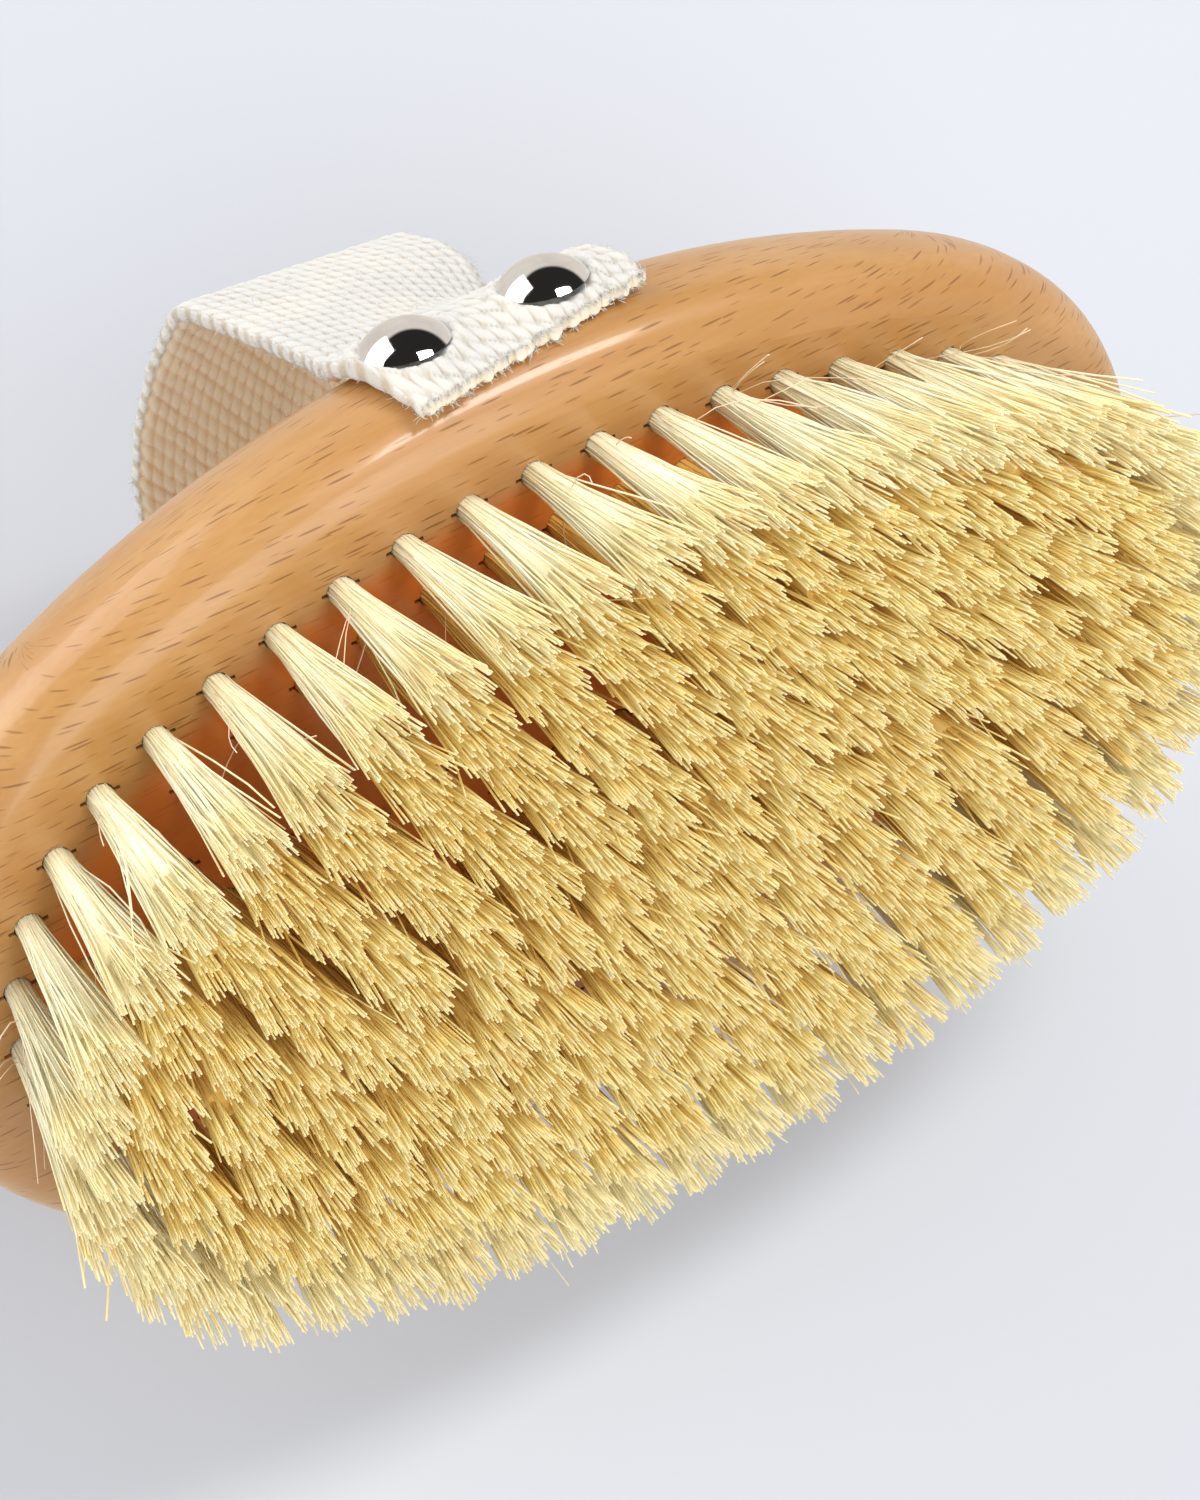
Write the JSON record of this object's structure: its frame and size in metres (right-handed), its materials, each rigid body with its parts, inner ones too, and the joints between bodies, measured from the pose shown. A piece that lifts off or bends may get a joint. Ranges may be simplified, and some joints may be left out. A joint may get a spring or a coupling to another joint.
{
  "type": "body dry brush",
  "caption": "Oval wooden body brush with concentric rings of plant-fibre tufts and a cotton webbing hand strap held by dome tacks.",
  "frame": {"origin": "on the plane of the bristle tips, under the middle of the oval block", "axes": "+X along the block's length, +Y across its width, +Z from the bristle tips up through the block's back to the strap"},
  "size_m": [0.138, 0.096, 0.0813],
  "materials": {
    "beech": "satin varnish over orange-tan beech with short dark flecks along its length",
    "cotton_webbing": "heavy ribbed undyed cotton webbing, raw cut ends",
    "plant_fibre": "coarse pale yellow plant fibre, blunt cut",
    "anchor_wire": "flat plain wire",
    "chrome_dome": "mirror bright",
    "nail_steel": "plain steel"
  },
  "bodies": {
    "root": {"wooden_body": "beech", "hand_strap": "cotton_webbing", "bristle_tufts_ring_1": "plant_fibre", "bristle_tufts_ring_2": "plant_fibre", "bristle_tufts_ring_3": "plant_fibre", "bristle_tufts_ring_4": "plant_fibre", "bristle_tufts_ring_5": "plant_fibre", "bristle_tufts_ring_6": "plant_fibre", "tuft_anchors_ring_1": "anchor_wire", "tuft_anchors_ring_2": "anchor_wire", "tuft_anchors_ring_3": "anchor_wire", "tuft_anchors_ring_4": "anchor_wire", "tuft_anchors_ring_5": "anchor_wire", "tuft_anchors_ring_6": "anchor_wire", "tack_dome_front_left": "chrome_dome", "tack_dome_front_right": "chrome_dome", "tack_dome_rear_left": "chrome_dome", "tack_dome_rear_right": "chrome_dome", "tack_nail_front_left": "nail_steel", "tack_nail_front_right": "nail_steel", "tack_nail_rear_left": "nail_steel", "tack_nail_rear_right": "nail_steel"}
  },
  "joints": []
}
